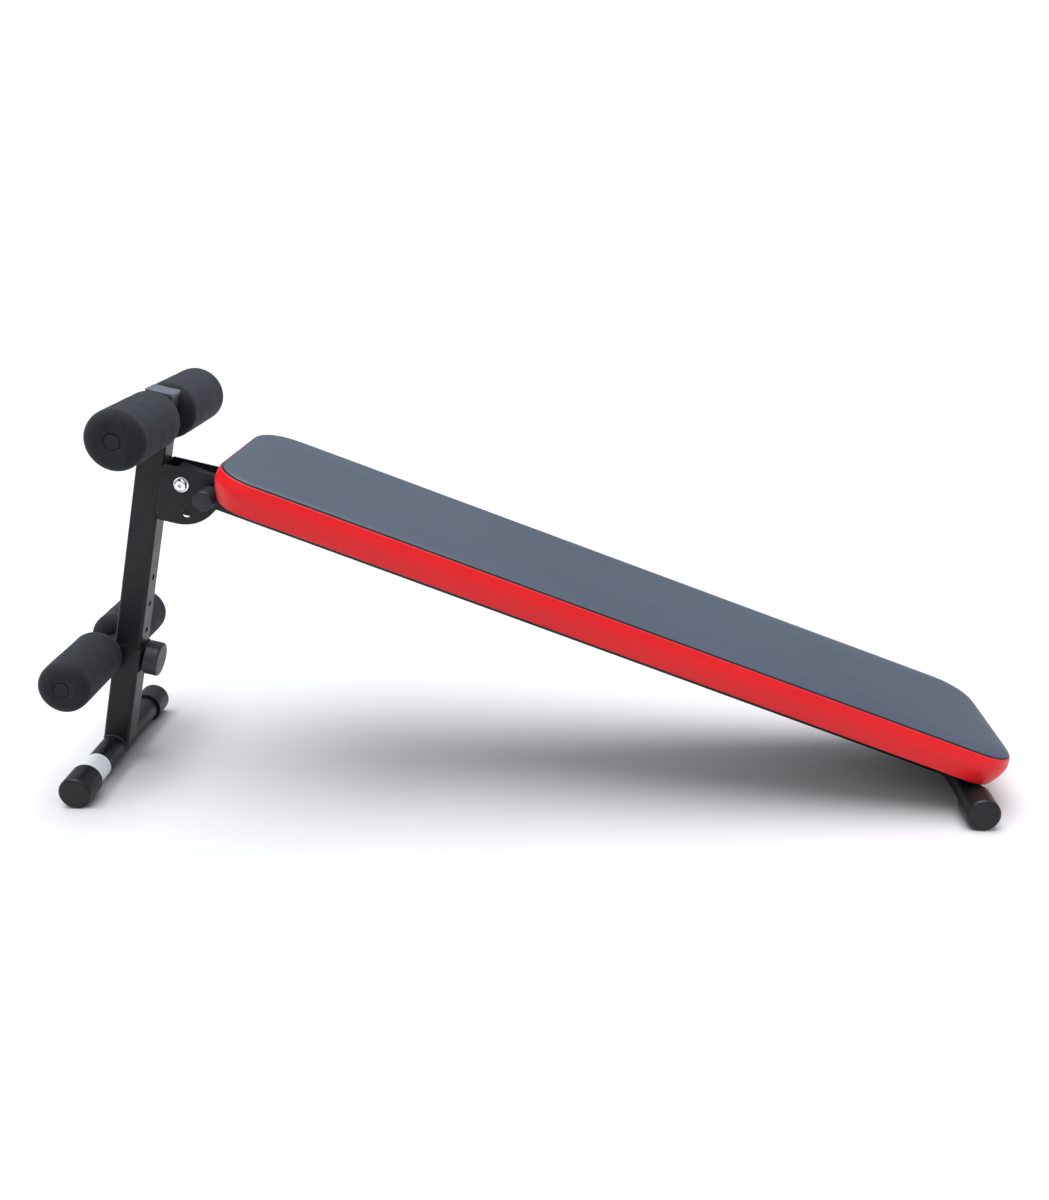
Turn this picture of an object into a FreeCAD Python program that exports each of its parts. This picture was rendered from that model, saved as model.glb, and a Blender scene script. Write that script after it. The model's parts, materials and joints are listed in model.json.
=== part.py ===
import FreeCAD, Part
import math
import os
import re

import Sketcher
from FreeCAD import Placement, Rotation, Vector

# Folding sit-up bench: a leaning upright with two pairs of foam rollers, hinged to a
# sloping beam that carries a long pad.
#
# Row frame: +X runs along the bench from the upright to the rear foot, +Y to the user's
# right, +Z up. The origin is on the floor, under the middle of the whole bench.
#
# Two working frames keep each half of the bench simple:
#   upright frame: origin beside the front foot's axis, z up along the upright, x to the rear
#   beam frame:    origin on the hinge bolt's axis, x down along the beam, z towards the pad
# "left" is the user's left, at -Y.

doc = FreeCAD.newDocument("SitUpBench")
sheet = doc.addObject("Spreadsheet::Sheet", "Sizes")

SIZES = [
    # feet
    ("front_foot_x", -626.565, "front foot axis from the origin"),
    ("foot_height", 22.3, "foot axis above the floor"),
    ("foot_half_span", 170.0, "middle of the bench to the outer face of a foot cap"),
    ("foot_tube_radius", 19.0, ""),
    ("foot_tube_wall", 1.6, ""),
    ("foot_cap_radius", 23.0, ""),
    ("foot_cap_length", 46.0, ""),
    ("foot_cap_end", 5.0, "thickness of a cap's closed end"),
    ("foot_cap_rounding", 5.0, ""),
    ("foot_flat_depth", 60.0, "cutting depth below a cap's moulded flat"),
    ("label_length", 40.0, "blank sticker around the front foot"),
    ("label_thickness", 0.25, ""),
    ("label_gap", 3.0, "sticker to foot cap"),
    # upright
    ("upright_lean", 12.75, "degrees from vertical, top towards the pad"),
    ("upright_offset", 2.3, "upright's axis behind the front foot's axis"),
    ("upright_length", 541.0, "front foot axis to the end of the tube"),
    ("upright_start", 8.0, "lowest point of the tube's coped end"),
    ("upright_depth", 38.0, "across the tube, along the bench"),
    ("upright_width", 40.0, "across the tube, side to side"),
    ("tube_wall", 2.0, ""),
    ("tube_corner", 4.0, "outer corner radius of the square tubes"),
    ("top_cap_height", 4.0, ""),
    ("cap_insert", 18.0, "how far a square plug reaches into its tube"),
    ("plug_clearance", 0.2, ""),
    ("hole_pitch", 41.5, "between adjustment holes"),
    ("hole_radius", 4.6, "adjustment holes"),
    # rollers
    ("upper_axle_height", 509.0, "along the upright"),
    ("axle_radius", 10.0, ""),
    ("axle_wall", 1.5, ""),
    ("axle_fit", 0.06, "radial running clearance of a roller on its axle"),
    ("upper_foam_radius", 40.0, ""),
    ("upper_foam_inner", 22.5, "middle of the bench to the roller's inner end"),
    ("upper_foam_outer", 183.0, "middle of the bench to the roller's outer end"),
    ("lower_foam_radius", 36.5, ""),
    ("lower_foam_inner", 25.0, ""),
    ("lower_foam_outer", 169.0, ""),
    ("foam_rounding", 12.0, ""),
    ("axle_setback", 4.0, "axle end inside the roller's outer end"),
    ("axle_plug_head", 2.0, ""),
    ("axle_plug_insert", 15.0, ""),
    # sliding carriage for the lower rollers
    ("carriage_height", 149.0, "middle of the carriage along the upright, lowest hole"),
    ("carriage_length", 36.0, ""),
    ("liner_fit", 0.1, "running clearance of the nylon liner on the upright"),
    ("liner_wall", 1.3, ""),
    ("sleeve_wall", 2.5, ""),
    ("liner_lip", 1.5, "liner shown beyond each end of the sleeve"),
    ("lower_axle_offset", 35.5, "lower axle in front of the upright's axis"),
    ("lower_axle_rise", 2.0, "lower axle above the carriage's middle"),
    ("saddle_reach", 31.0, "front of the saddle that holds the lower axle"),
    ("saddle_width", 34.0, ""),
    # spring plungers: one on the carriage, one on the hinge
    ("pin_radius", 4.0, ""),
    ("pin_fit", 0.08, "radial running clearance of a pin in its barrel"),
    ("barrel_radius", 9.0, ""),
    ("barrel_length", 16.0, ""),
    ("barrel_end", 2.0, "thickness of a barrel's ends"),
    ("pin_chamfer", 1.0, ""),
    ("pin_shoulder_radius", 5.8, ""),
    ("pin_shoulder", 1.5, ""),
    ("spring_radius", 5.2, "spring centre line"),
    ("spring_wire", 0.45, "wire radius"),
    ("spring_turns", 3.5, ""),
    ("pin_gap", 0.5, "pin nose to the piece that it locks"),
    ("knob_radius", 25.0, ""),
    ("knob_length", 20.0, ""),
    ("knob_rounding", 3.0, ""),
    ("knob_wall", 4.0, ""),
    ("knob_clearance", 1.0, "knob's hollow around its barrel"),
    ("knob_standoff", 3.5, "carriage to the knob's base"),
    ("lock_knob_radius", 14.0, ""),
    ("lock_knob_length", 34.0, ""),
    # hinge
    ("hinge_setback", 48.0, "hinge bolt behind the upright's axis"),
    ("hinge_height", 426.0, "hinge bolt along the upright"),
    ("bracket_top", 449.6, "top edge of the bracket along the upright"),
    ("bracket_radius", 57.0, "rounded edge of the side plates about the bolt"),
    ("bracket_plate", 3.0, ""),
    ("bracket_gap", 41.0, "between the side plates"),
    ("bracket_bend", 4.0, "outer bend radius"),
    ("bracket_cut", 9.0, "how far the bracket's inside is cut past its edges"),
    ("bolt_radius", 5.0, ""),
    ("bolt_fit", 0.06, "radial running clearance of the sleeve on the bolt"),
    ("bolt_head_radius", 8.8, ""),
    ("bolt_head", 5.5, ""),
    ("bolt_head_rounding", 3.0, ""),
    ("bolt_tip", 2.0, "bolt end past the nut"),
    ("bolt_socket", 3.0, "inner radius of the hexagon socket"),
    ("socket_depth", 3.5, ""),
    ("washer_radius", 10.5, ""),
    ("washer_thickness", 1.4, ""),
    ("nut_radius", 9.2, "across corners, as a radius"),
    ("nut_height", 8.0, ""),
    ("sleeve_radius", 8.0, "steel sleeve through the beam"),
    ("spacer_fit", 0.05, "nylon spacer to the beam"),
    ("lock_radius", 41.0, "lock hole from the hinge bolt"),
    ("lock_hole_radius", 6.2, "free lock hole"),
    ("fold_angle", 66.0, "degrees between the two lock holes"),
    # beam
    ("beam_reach", 1168.0, "hinge bolt to the rear foot's axis"),
    ("beam_start", 12.0, "beam tube ahead of the hinge bolt"),
    ("beam_width", 38.0, ""),
    ("beam_height", 40.0, ""),
    ("beam_end_cap", 2.5, ""),
    ("plug_to_sleeve", 1.0, "beam end plug to the hinge sleeve"),
    # pad
    ("pad_start", 59.5, "front edge of the pad along the beam"),
    ("pad_length", 1137.0, ""),
    ("pad_half_width", 138.0, ""),
    ("pad_thickness", 50.0, "board and cushion"),
    ("pad_corner", 55.0, ""),
    ("pad_taper", 6.0, "degrees that the sides lean in towards the board"),
    ("pad_rounding", 6.0, ""),
    ("board_inset", 10.0, ""),
    ("board_thickness", 12.0, ""),
    ("pad_plate", 3.5, "cross plate thickness"),
    ("pad_plate_width", 40.0, "along the beam"),
    ("pad_plate_length", 200.0, "side to side"),
    ("pad_plate_inset", 170.0, "pad end to cross plate"),
    ("screw_radius", 3.0, ""),
    ("screw_head_radius", 6.0, ""),
    ("screw_head", 4.0, ""),
    ("screw_spread", 80.0, "screws from the middle of the bench"),
    ("screw_tip_gap", 1.0, "screw tip below the board's top"),
    ("overshoot", 1.0, "how far a cut runs past the face that it opens"),
]

for row, (alias, number, note) in enumerate(SIZES, start=1):
    sheet.set("A%d" % row, alias)
    sheet.set("B%d" % row, str(number))
    sheet.set("C%d" % row, note)
    sheet.setAlias("B%d" % row, alias)
doc.recompute()

ALIASES = {alias for alias, number, note in SIZES}
WORD = re.compile(r"[a-z_]+")


def sized(text):
    """Turn plain words such as "pad_length / 2" into an expression on the sheet."""
    return WORD.sub(lambda m: "Sizes." + m.group() if m.group() in ALIASES else m.group(), text)


def value(text):
    """The number that an expression of sheet words comes to now."""
    return float(sheet.evalExpression(text))


# ---- frames ----

foot_height = value("foot_height")
front_foot_point = Vector(value("front_foot_x"), 0, foot_height)
upright_turn = Rotation(Vector(0, 1, 0), value("upright_lean"))
upright_frame = Placement(
    front_foot_point + upright_turn.multVec(Vector(value("upright_offset"), 0, 0)),
    upright_turn,
)
hinge_point = upright_frame.multVec(Vector(value("hinge_setback"), 0, value("hinge_height")))
slope = math.degrees(math.asin((hinge_point.z - foot_height) / value("beam_reach")))
beam_frame = Placement(hinge_point, Rotation(Vector(0, 1, 0), slope))
beam_angle = slope - value("upright_lean")  # the beam's direction in the upright frame
rear_foot_point = beam_frame.multVec(Vector(value("beam_reach"), 0, 0))

# A cap, axle plug or foam on the left is modelled pointing inwards along +y, so the
# right one is the same piece turned half round about z.
HALF_TURN = Rotation(Vector(0, 0, 1), 180)
NO_TURN = Rotation()


def level(point):
    """A frame at a point with its axes along the row's axes."""
    return Placement(point, Rotation())


def local(frame, x, y, z, turn=NO_TURN):
    """A frame moved and turned inside another frame."""
    return frame.multiply(Placement(Vector(x, y, z), turn))


# ---- building blocks ----

NEAR = 0.01  # two lengths this close are the same

parts = []


def new_body(name, placement):
    body = doc.addObject("PartDesign::Body", name)
    body.Label = name
    body.Placement = placement
    parts.append(body)
    return body


def sketch_on(body, role, offset="0"):
    """An empty sketch on one of the body's own origin planes, moved along its normal.

    XY_Plane: sketch axes x, y, normal +z. XZ_Plane: x, z, normal -y. YZ_Plane: y, z, normal +x.
    """
    sketch = body.newObject("Sketcher::SketchObject", body.Name + "_sketch")
    plane = next(f for f in body.Origin.OriginFeatures if f.Role == role)
    sketch.AttachmentSupport = [(plane, "")]
    sketch.MapMode = "FlatFace"
    sketch.setExpression("AttachmentOffset.Base.z", sized(offset))
    return sketch


def hold(sketch, kind, text, *where):
    """Add a driving dimension whose size comes from the sheet."""
    index = sketch.addConstraint(Sketcher.Constraint(kind, *where, value(text)))
    sketch.setExpression("Constraints[%d]" % index, sized(text))


def hold_point(sketch, geometry, end, x, y):
    hold(sketch, "DistanceX", x, -1, 1, geometry, end)
    hold(sketch, "DistanceY", y, -1, 1, geometry, end)


def circle(sketch, x, y, radius):
    spot = Part.Circle(Vector(value(x), value(y), 0), Vector(0, 0, 1), value(radius))
    geometry = sketch.addGeometry(spot, False)
    hold(sketch, "Radius", radius, geometry)
    hold_point(sketch, geometry, 3, x, y)


def polygon(sketch, points):
    corners = [Vector(value(x), value(y), 0) for x, y in points]
    first = sketch.GeometryCount
    for start, end in zip(corners, corners[1:] + corners[:1]):
        sketch.addGeometry(Part.LineSegment(start, end), False)
    for i in range(len(points)):
        following = first + (i + 1) % len(points)
        sketch.addConstraint(Sketcher.Constraint("Coincident", first + i, 2, following, 1))
    for i, (x, y) in enumerate(points):
        hold_point(sketch, first + i, 1, x, y)


def rectangle(sketch, left, bottom, right, top):
    polygon(sketch, [(left, bottom), (right, bottom), (right, top), (left, top)])


def rounded_rectangle(sketch, left, bottom, right, top, radius):
    x0, y0, x1, y1 = value(left), value(bottom), value(right), value(top)
    r = value(radius)
    first = sketch.GeometryCount
    sides = [
        (Vector(x0 + r, y0, 0), Vector(x1 - r, y0, 0)),
        (Vector(x1, y0 + r, 0), Vector(x1, y1 - r, 0)),
        (Vector(x1 - r, y1, 0), Vector(x0 + r, y1, 0)),
        (Vector(x0, y1 - r, 0), Vector(x0, y0 + r, 0)),
    ]
    for start, end in sides:
        sketch.addGeometry(Part.LineSegment(start, end), False)
    centres = [(x1 - r, y0 + r), (x1 - r, y1 - r), (x0 + r, y1 - r), (x0 + r, y0 + r)]
    for i, (x, y) in enumerate(centres):
        whole = Part.Circle(Vector(x, y, 0), Vector(0, 0, 1), r)
        start = (i - 1) * math.pi / 2
        sketch.addGeometry(Part.ArcOfCircle(whole, start, start + math.pi / 2), False)
    for i in range(4):
        side, corner, following = first + i, first + 4 + i, first + (i + 1) % 4
        sketch.addConstraint(Sketcher.Constraint("Tangent", side, 2, corner, 1))
        sketch.addConstraint(Sketcher.Constraint("Tangent", corner, 2, following, 1))
        kind = "Horizontal" if i % 2 == 0 else "Vertical"
        sketch.addConstraint(Sketcher.Constraint(kind, side))
    for i in range(1, 4):
        sketch.addConstraint(Sketcher.Constraint("Equal", first + 4, first + 4 + i))
    hold(sketch, "Radius", radius, first + 4)
    hold(sketch, "DistanceY", bottom, -1, 1, first, 1)
    hold(sketch, "DistanceX", right, -1, 1, first + 1, 1)
    hold(sketch, "DistanceY", top, -1, 1, first + 2, 1)
    hold(sketch, "DistanceX", left, -1, 1, first + 3, 1)


def check_volume(body, before, grows):
    """A cut that points away from its solid changes nothing and raises nothing."""
    change = body.Shape.Volume - before
    if (change > 1e-3) != grows or abs(change) < 1e-3:
        raise RuntimeError("%s: feature changed the volume by %.3f" % (body.Name, change))


def feature(body, kind, sketch, **settings):
    made = body.newObject("PartDesign::" + kind, body.Name + "_" + kind.lower())
    made.Profile = sketch
    for name, setting in settings.items():
        setattr(made, name, setting)
    return made


def pad(body, sketch, length, taper=None):
    """Raise a sketch along its normal."""
    before = body.Shape.Volume if body.Tip else 0.0
    made = feature(body, "Pad", sketch)
    made.setExpression("Length", sized(length))
    if taper:
        made.setExpression("TaperAngle", sized(taper))
    doc.recompute()
    check_volume(body, before, grows=True)


def pocket(body, sketch, length):
    """Cut a sketch against its normal."""
    before = body.Shape.Volume
    made = feature(body, "Pocket", sketch)
    made.setExpression("Length", sized(length))
    doc.recompute()
    check_volume(body, before, grows=False)


def revolve(body, sketch, axis):
    made = feature(body, "Revolution", sketch, ReferenceAxis=(sketch, [axis]), Angle=360)
    made.Midplane = False
    doc.recompute()


def round_edges(body, radius, chosen):
    """Round the edges that the test picks, by their place in the body's own frame."""
    base = body.Tip
    names = ["Edge%d" % (i + 1) for i, edge in enumerate(base.Shape.Edges) if chosen(edge)]
    if not names:
        raise RuntimeError(body.Name + ": no edge to round")
    made = body.newObject("PartDesign::Fillet", body.Name + "_fillet")
    made.Base = (base, names)
    made.setExpression("Radius", sized(radius))
    doc.recompute()


def ring_edge(radius, y):
    """Test for a round edge about the y axis, with this radius at this place."""
    def chosen(edge):
        curve = edge.Curve
        return (
            isinstance(curve, Part.Circle)
            and abs(curve.Radius - radius) < NEAR
            and abs(curve.Center.y - y) < NEAR
            and abs(abs(curve.Axis.y) - 1) < 1e-6
        )
    return chosen


# ---- feet ----

def foot_tube(name, frame):
    body = new_body(name, frame)
    sketch = sketch_on(body, "XZ_Plane", "-(foot_half_span - foot_cap_end)")
    circle(sketch, "0", "0", "foot_tube_radius")
    circle(sketch, "0", "0", "foot_tube_radius - foot_tube_wall")
    pad(body, sketch, "2 * (foot_half_span - foot_cap_end)")


def foot_cap(name, frame, side):
    turn = NO_TURN if side < 0 else HALF_TURN
    body = new_body(name, local(frame, 0, side * value("foot_half_span"), 0, turn))
    sketch = sketch_on(body, "XY_Plane")
    polygon(sketch, [
        ("0", "0"),
        ("foot_cap_radius", "0"),
        ("foot_cap_radius", "foot_cap_length"),
        ("foot_tube_radius", "foot_cap_length"),
        ("foot_tube_radius", "foot_cap_end"),
        ("0", "foot_cap_end"),
    ])
    revolve(body, sketch, "V_Axis")
    round_edges(body, "foot_cap_rounding", ring_edge(value("foot_cap_radius"), 0))
    flat = sketch_on(body, "XY_Plane", "-foot_height")
    rectangle(flat, "-foot_cap_radius", "-overshoot",
              "foot_cap_radius", "foot_cap_length + overshoot")
    pocket(body, flat, "foot_flat_depth")


front_foot_frame = level(front_foot_point)
rear_foot_frame = level(rear_foot_point)
for end, frame in (("front", front_foot_frame), ("rear", rear_foot_frame)):
    foot_tube(end + "_foot_tube", frame)
    foot_cap(end + "_foot_cap_left", frame, -1)
    foot_cap(end + "_foot_cap_right", frame, 1)


def foot_label():
    body = new_body("foot_label", front_foot_frame)
    start = "foot_half_span - foot_cap_length - label_gap - label_length"
    sketch = sketch_on(body, "XZ_Plane", start)
    circle(sketch, "0", "0", "foot_tube_radius + label_thickness")
    circle(sketch, "0", "0", "foot_tube_radius")
    pad(body, sketch, "label_length")


foot_label()


# ---- square tubes and their plugs ----

def tube_outline(sketch, width, height, inset, radius):
    """Rounded rectangle about the tube's axis, inset from the tube's outside."""
    half_w = "(%s / 2 - (%s))" % (width, inset)
    half_h = "(%s / 2 - (%s))" % (height, inset)
    rounded_rectangle(sketch, "-" + half_w, "-" + half_h, half_w, half_h, radius)


def square_tube(body, plane, width, height, start, length):
    sketch = sketch_on(body, plane, start)
    tube_outline(sketch, width, height, "0", "tube_corner")
    tube_outline(sketch, width, height, "tube_wall", "tube_corner - tube_wall")
    pad(body, sketch, length)


def square_plug(body, plane, width, height, face, flange, into):
    """A flange at the tube's end and an insert that fills its bore; into is + or -."""
    outer = sketch_on(body, plane, face)
    tube_outline(outer, width, height, "0", "tube_corner")
    pad(body, outer, flange)
    start = "(%s) + (%s)" % (face, flange) if into == "+" else "(%s) - cap_insert" % face
    inner = sketch_on(body, plane, start)
    tube_outline(inner, width, height, "tube_wall + plug_clearance", "tube_corner - tube_wall")
    pad(body, inner, "cap_insert")


def upright_tube():
    body = new_body("upright_tube", upright_frame)
    square_tube(body, "XY_Plane", "upright_depth", "upright_width",
                "upright_start", "upright_length - upright_start")
    cope = sketch_on(body, "XZ_Plane", "upright_width / 2 + overshoot")
    circle(cope, "-upright_offset", "0", "foot_tube_radius")
    pocket(body, cope, "upright_width + 2 * overshoot")
    axle_hole = sketch_on(body, "XZ_Plane", "upright_width / 2 + overshoot")
    circle(axle_hole, "0", "upper_axle_height", "axle_radius")
    pocket(body, axle_hole, "upright_width + 2 * overshoot")
    holes = sketch_on(body, "YZ_Plane", "upright_depth / 2 + overshoot")
    for step in range(4):
        circle(holes, "0", "carriage_height + %d * hole_pitch" % step, "hole_radius")
    pocket(body, holes, "tube_wall + 2 * overshoot")


def upright_top_cap():
    body = new_body("upright_top_cap", upright_frame)
    square_plug(body, "XY_Plane", "upright_depth", "upright_width",
                "upright_length", "top_cap_height", "-")


upright_tube()
upright_top_cap()


# ---- rollers and their axles ----

def axle(name, frame, outer):
    body = new_body(name, frame)
    sketch = sketch_on(body, "XZ_Plane", "-(%s - axle_setback)" % outer)
    circle(sketch, "0", "0", "axle_radius")
    circle(sketch, "0", "0", "axle_radius - axle_wall")
    pad(body, sketch, "2 * (%s - axle_setback)" % outer)


def axle_plug(name, frame, outer, side):
    turn = NO_TURN if side < 0 else HALF_TURN
    end = value(outer) - value("axle_setback")
    body = new_body(name, local(frame, 0, side * end, 0, turn))
    sketch = sketch_on(body, "XY_Plane")
    polygon(sketch, [
        ("0", "-axle_plug_head"),
        ("axle_radius", "-axle_plug_head"),
        ("axle_radius", "0"),
        ("axle_radius - axle_wall", "0"),
        ("axle_radius - axle_wall", "axle_plug_insert"),
        ("0", "axle_plug_insert"),
    ])
    revolve(body, sketch, "V_Axis")


def foam(name, frame, radius, inner, outer, side):
    turn = NO_TURN if side > 0 else HALF_TURN
    body = new_body(name, local(frame, 0, 0, 0, turn))
    bore = "axle_radius + axle_fit"
    sketch = sketch_on(body, "XY_Plane")
    rectangle(sketch, bore, inner, radius, outer)
    revolve(body, sketch, "V_Axis")
    ends = (ring_edge(value(radius), value(inner)), ring_edge(value(radius), value(outer)))
    round_edges(body, "foam_rounding", lambda edge: any(end(edge) for end in ends))


upper_axle_frame = local(upright_frame, 0, 0, value("upper_axle_height"))
lower_axle_frame = local(upright_frame, -value("lower_axle_offset"), 0,
                         value("carriage_height + lower_axle_rise"))
for height, frame in (("upper", upper_axle_frame), ("lower", lower_axle_frame)):
    radius = height + "_foam_radius"
    inner = height + "_foam_inner"
    outer = height + "_foam_outer"
    axle(height + "_axle", frame, outer)
    for side_name, side in (("left", -1), ("right", 1)):
        axle_plug("%s_axle_plug_%s" % (height, side_name), frame, outer, side)
        foam("%s_foam_%s" % (height, side_name), frame, radius, inner, outer, side)


# ---- carriage ----

LINER_INSIDE = "-liner_fit"
LINER_OUTSIDE = "-(liner_fit + liner_wall)"
SLEEVE_OUTSIDE = "-(liner_fit + liner_wall + sleeve_wall)"
SLEEVE_REAR = "(upright_depth / 2 + liner_fit + liner_wall + sleeve_wall)"
carriage_frame = local(upright_frame, 0, 0, value("carriage_height"))


def nested_outline(body, outside, inside, start):
    """Two outlines around the upright, one sketch."""
    sketch = sketch_on(body, "XY_Plane", start)
    tube_outline(sketch, "upright_depth", "upright_width", outside, "tube_corner - (%s)" % outside)
    tube_outline(sketch, "upright_depth", "upright_width", inside, "tube_corner - (%s)" % inside)
    return sketch


def plunger_hole(body, plane, x, z, start, length):
    sketch = sketch_on(body, plane, start)
    circle(sketch, x, z, "pin_radius + pin_fit")
    pocket(body, sketch, length)


def carriage_sleeve():
    body = new_body("carriage_sleeve", carriage_frame)
    sketch = nested_outline(body, SLEEVE_OUTSIDE, LINER_OUTSIDE, "-carriage_length / 2")
    pad(body, sketch, "carriage_length")
    saddle = sketch_on(body, "YZ_Plane", "-saddle_reach")
    rectangle(saddle, "-saddle_width / 2", "-carriage_length / 2",
              "saddle_width / 2", "carriage_length / 2")
    front_wall = "upright_depth / 2 + liner_fit + liner_wall + sleeve_wall / 2"
    pad(body, saddle, "saddle_reach - (%s)" % front_wall)
    axle_seat = sketch_on(body, "XZ_Plane", "upright_width")
    circle(axle_seat, "-lower_axle_offset", "lower_axle_rise", "axle_radius")
    pocket(body, axle_seat, "2 * upright_width")
    plunger_hole(body, "YZ_Plane", "0", "0", SLEEVE_REAR + " + overshoot", "sleeve_wall + 2 * overshoot")


def carriage_liner():
    body = new_body("carriage_liner", carriage_frame)
    sketch = nested_outline(body, LINER_OUTSIDE, LINER_INSIDE, "-(carriage_length / 2 + liner_lip)")
    pad(body, sketch, "carriage_length + 2 * liner_lip")
    plunger_hole(body, "YZ_Plane", "0", "0", SLEEVE_REAR,
                 "sleeve_wall + liner_wall + liner_fit + overshoot")


carriage_sleeve()
carriage_liner()


# ---- spring plungers ----
# A plunger is modelled about its own z axis, which points outwards along its travel.
# z = 0 is the face that its barrel is welded to.

def plunger_barrel(name, frame):
    body = new_body(name, frame)
    sketch = sketch_on(body, "XZ_Plane")
    polygon(sketch, [
        ("pin_radius + pin_fit", "0"),
        ("barrel_radius", "0"),
        ("barrel_radius", "barrel_length"),
        ("pin_radius + pin_fit", "barrel_length"),
        ("pin_radius + pin_fit", "barrel_length - barrel_end"),
        ("spring_radius + 2 * spring_wire", "barrel_length - barrel_end"),
        ("spring_radius + 2 * spring_wire", "barrel_end"),
        ("pin_radius + pin_fit", "barrel_end"),
    ])
    revolve(body, sketch, "V_Axis")


def plunger_pin(name, frame, nose, knob_base, knob_length):
    """Pin from its nose to inside the knob, with the shoulder that its spring pushes on."""
    body = new_body(name, frame)
    shoulder = "barrel_end + pin_gap"
    sketch = sketch_on(body, "XZ_Plane")
    polygon(sketch, [
        ("0", nose),
        ("pin_radius - pin_chamfer", nose),
        ("pin_radius", "(%s) + pin_chamfer" % nose),
        ("pin_radius", shoulder),
        ("pin_shoulder_radius", shoulder),
        ("pin_shoulder_radius", shoulder + " + pin_shoulder"),
        ("pin_radius", shoulder + " + pin_shoulder"),
        ("pin_radius", "(%s) + (%s) - knob_wall" % (knob_base, knob_length)),
        ("0", "(%s) + (%s) - knob_wall" % (knob_base, knob_length)),
    ])
    revolve(body, sketch, "V_Axis")


def plunger_spring(name, frame):
    """Coil spring between the pin's shoulder and the barrel's outer end."""
    low = value("barrel_end + pin_gap + pin_shoulder + spring_wire")
    high = value("barrel_length - barrel_end - spring_wire")
    radius = value("spring_radius")
    helix = Part.makeLongHelix((high - low) / value("spring_turns"), high - low, radius)
    wire = Part.Wire(helix.Edges)
    section = Part.Wire(Part.makeCircle(value("spring_wire"), Vector(radius, 0, 0), Vector(0, 1, 0)))
    coil = wire.makePipeShell([section], True, True)
    spring = doc.addObject("Part::Feature", name)
    spring.Label = name
    spring.Shape = coil
    spring.Placement = local(frame, 0, 0, low)
    parts.append(spring)


def knob(name, frame, radius, base, length):
    """Round plastic knob, hollow at its base so that it clears the barrel."""
    body = new_body(name, frame)
    top = "(%s) + (%s)" % (base, length)
    sketch = sketch_on(body, "XZ_Plane")
    polygon(sketch, [
        ("pin_radius", top + " - knob_wall - knob_rounding"),
        ("barrel_radius + knob_clearance", top + " - knob_wall - knob_rounding"),
        ("barrel_radius + knob_clearance", base),
        (radius, base),
        (radius, top),
        ("0", top),
        ("0", top + " - knob_wall"),
        ("pin_radius", top + " - knob_wall"),
    ])
    revolve(body, sketch, "V_Axis")
    rim = value(radius)
    height = value(top)

    def outer_rim(edge):
        curve = edge.Curve
        return (isinstance(curve, Part.Circle) and abs(curve.Radius - rim) < NEAR
                and abs(curve.Center.z - height) < NEAR)

    round_edges(body, "knob_rounding", outer_rim)


TO_REAR = Rotation(Vector(0, 1, 0), 90)
TO_LEFT = Rotation(Vector(1, 0, 0), 90)

carriage_plunger = local(carriage_frame, value(SLEEVE_REAR), 0, 0, TO_REAR)
plunger_barrel("carriage_plunger_barrel", carriage_plunger)
plunger_spring("carriage_plunger_spring", carriage_plunger)
plunger_pin("carriage_plunger_pin", carriage_plunger,
            "pin_gap - liner_fit - liner_wall - sleeve_wall", "knob_standoff", "knob_length")
knob("carriage_plunger_knob", carriage_plunger, "knob_radius", "knob_standoff", "knob_length")

# The lock hole in use lies on the beam's axis; the other is turned by the fold angle.
BRACKET_OUTSIDE = "(bracket_gap / 2 + bracket_plate)"
lock_x = value("hinge_setback") + value("lock_radius") * math.cos(math.radians(beam_angle))
lock_z = value("hinge_height") - value("lock_radius") * math.sin(math.radians(beam_angle))
lock_plunger = local(upright_frame, lock_x, -value(BRACKET_OUTSIDE), lock_z, TO_LEFT)
plunger_barrel("lock_barrel", lock_plunger)
plunger_spring("lock_spring", lock_plunger)
plunger_pin("lock_pin", lock_plunger, "pin_gap - bracket_plate", "knob_standoff", "lock_knob_length")
knob("lock_knob", lock_plunger, "lock_knob_radius", "knob_standoff", "lock_knob_length")


# ---- hinge ----

def bracket_outline(sketch):
    """Straight top and bottom edges joined by an arc about the hinge bolt."""
    cx, cz = value("hinge_setback"), value("hinge_height")
    r = value("bracket_radius")
    top, face = value("bracket_top"), value("upright_depth / 2")
    start = -math.pi / 2
    end = math.asin((top - cz) / r)
    arc = Part.ArcOfCircle(Part.Circle(Vector(cx, cz, 0), Vector(0, 0, 1), r), start, end)
    tip = Vector(cx + r * math.cos(end), top, 0)
    sketch.addGeometry([
        arc,
        Part.LineSegment(tip, Vector(face, top, 0)),
        Part.LineSegment(Vector(face, top, 0), Vector(face, cz - r, 0)),
        Part.LineSegment(Vector(face, cz - r, 0), Vector(cx, cz - r, 0)),
    ], False)
    sketch.addConstraint(Sketcher.Constraint("Coincident", 0, 2, 1, 1))
    sketch.addConstraint(Sketcher.Constraint("Coincident", 1, 2, 2, 1))
    sketch.addConstraint(Sketcher.Constraint("Coincident", 2, 2, 3, 1))
    sketch.addConstraint(Sketcher.Constraint("Tangent", 3, 2, 0, 1))
    sketch.addConstraint(Sketcher.Constraint("Horizontal", 1))
    sketch.addConstraint(Sketcher.Constraint("Vertical", 2))
    sketch.addConstraint(Sketcher.Constraint("Horizontal", 3))
    hold(sketch, "Radius", "bracket_radius", 0)
    hold_point(sketch, 0, 3, "hinge_setback", "hinge_height")
    hold_point(sketch, 1, 2, "upright_depth / 2", "bracket_top")


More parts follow.
